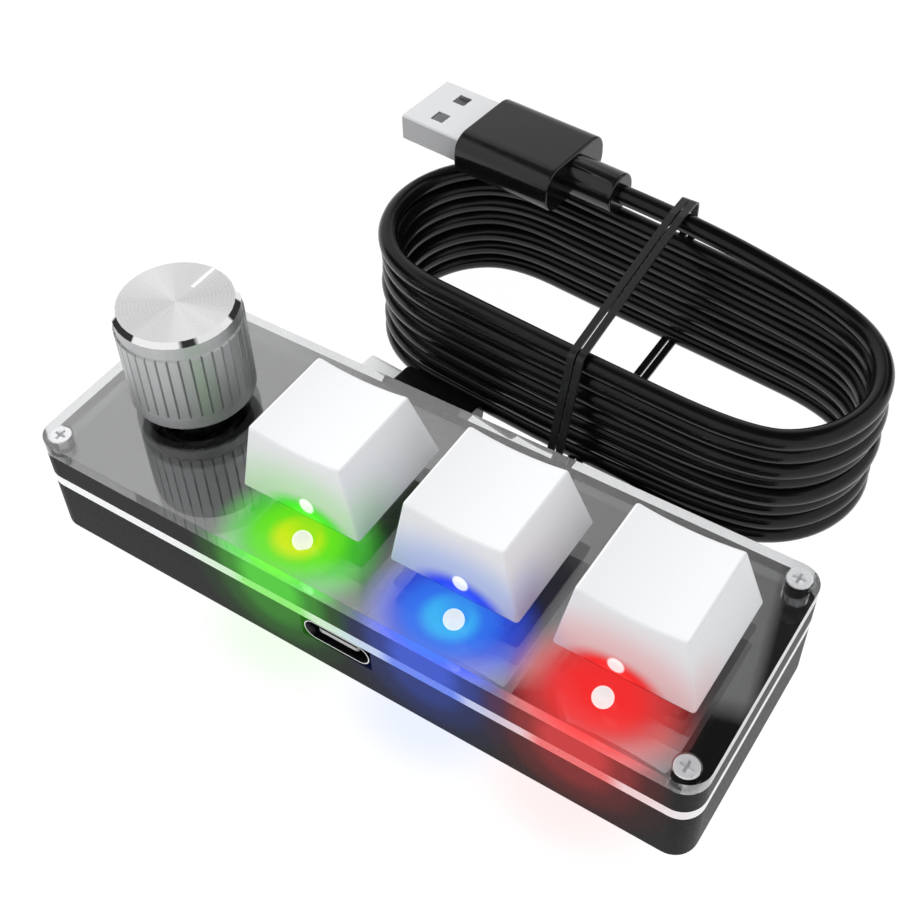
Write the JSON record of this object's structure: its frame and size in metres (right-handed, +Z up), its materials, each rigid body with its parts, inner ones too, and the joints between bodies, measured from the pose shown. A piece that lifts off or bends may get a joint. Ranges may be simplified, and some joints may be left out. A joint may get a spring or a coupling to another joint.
{
  "type": "macro keypad",
  "caption": "Long low desk keypad with square sculpted keys, a grooved push-and-turn knob, lit lamps under a clear cover and a wound USB cable.",
  "frame": {"origin": "on the desk under the middle of the case", "axes": "+X along the case from the knob to the last key, +Y to the back, away from the USB port, +Z up"},
  "size_m": [0.1004, 0.089, 0.0349],
  "materials": {
    "case_black": "satin black moulded plastic",
    "plate_white": "white sheet with polished edge",
    "cover_clear": "clear polished acrylic sheet",
    "screw_steel": "bright plated steel",
    "foot_rubber": "soft black rubber",
    "board_green": "solder-masked board",
    "chip_black": "moulded chip package",
    "port_steel": "drawn steel shell",
    "port_black": "black moulded tongue",
    "cap_white": "white satin keycap plastic",
    "switch_black": "black switch housing",
    "stem_grey": "dark grey switch stem",
    "spring_steel": "spring wire and dome sheet",
    "contact_brass": "contact leaves and pins",
    "lamp_green": "green lamp lens",
    "lamp_blue": "blue lamp lens",
    "lamp_red": "red lamp lens",
    "knob_aluminium": "turned aluminium with brushed top",
    "insert_black": "black push-on hub",
    "pointer_white": "white filled line",
    "encoder_metal": "encoder shaft and bushing",
    "encoder_black": "encoder moulding",
    "cable_black": "glossy black cable jacket",
    "plug_black": "glossy black plug moulding",
    "plug_steel": "nickel-plated plug shell",
    "plug_white": "plug contact carrier",
    "tie_black": "flat black tie strip"
  },
  "bodies": {
    "case": {"base_case": "case_black", "rubber_feet": "foot_rubber", "switch_plate": "plate_white", "deck_frame": "case_black", "clear_cover": "cover_clear", "cover_screws": "screw_steel", "circuit_board": "board_green", "controller_chip": "chip_black", "usb_port_shell": "port_steel", "usb_port_tongue": "port_black", "encoder_body": "encoder_black", "encoder_pins": "contact_brass", "encoder_push_dome": "spring_steel", "encoder_bushing": "encoder_metal", "encoder_washer": "screw_steel", "encoder_nut": "screw_steel", "cable_hank": "cable_black", "cable_tie": "tie_black", "usb_a_shell": "plug_steel", "usb_a_tongue": "plug_white", "usb_a_grip": "plug_black", "usb_a_relief": "plug_black", "usb_c_shell": "plug_steel", "usb_c_grip": "plug_black", "usb_c_relief": "plug_black", "lamp_1": "lamp_green", "lamp_2": "lamp_blue", "lamp_3": "lamp_red", "switch_spring_1": "spring_steel", "switch_base_1": "switch_black", "switch_top_1": "switch_black", "switch_contacts_1": "contact_brass", "switch_spring_2": "spring_steel", "switch_base_2": "switch_black", "switch_top_2": "switch_black", "switch_contacts_2": "contact_brass", "switch_spring_3": "spring_steel", "switch_base_3": "switch_black", "switch_top_3": "switch_black", "switch_contacts_3": "contact_brass"},
    "plunger": {"encoder_plunger": "encoder_black"},
    "knob": {"encoder_shaft": "encoder_metal", "knob_body": "knob_aluminium", "knob_insert": "insert_black", "knob_pointer": "pointer_white"},
    "key_1": {"keycap_1": "cap_white", "switch_stem_1": "stem_grey"},
    "key_2": {"keycap_2": "cap_white", "switch_stem_2": "stem_grey"},
    "key_3": {"keycap_3": "cap_white", "switch_stem_3": "stem_grey"}
  },
  "joints": [
    {"name": "key_1_press", "type": "slide", "parent": "case", "child": "key_1", "axis": [0, 0, -1], "range_m": [0, 0.0023], "stiffness_N_per_m": 120, "springref_m": -0.003, "deforming": ["switch_spring_1"]},
    {"name": "key_2_press", "type": "slide", "parent": "case", "child": "key_2", "axis": [0, 0, -1], "range_m": [0, 0.0023], "stiffness_N_per_m": 120, "springref_m": -0.003, "deforming": ["switch_spring_2"]},
    {"name": "key_3_press", "type": "slide", "parent": "case", "child": "key_3", "axis": [0, 0, -1], "range_m": [0, 0.0023], "stiffness_N_per_m": 120, "springref_m": -0.003, "deforming": ["switch_spring_3"]},
    {"name": "knob_press", "type": "slide", "parent": "case", "child": "plunger", "axis": [0, 0, -1], "range_m": [0, 0.0005], "stiffness_N_per_m": 2000, "springref_m": -0.001, "deforming": ["encoder_push_dome"]},
    {"name": "knob_turn", "type": "hinge", "parent": "plunger", "child": "knob", "pos_m": [-0.0364, 0.0005, 0.02], "axis": [0, 0, 1], "continuous": true}
  ]
}
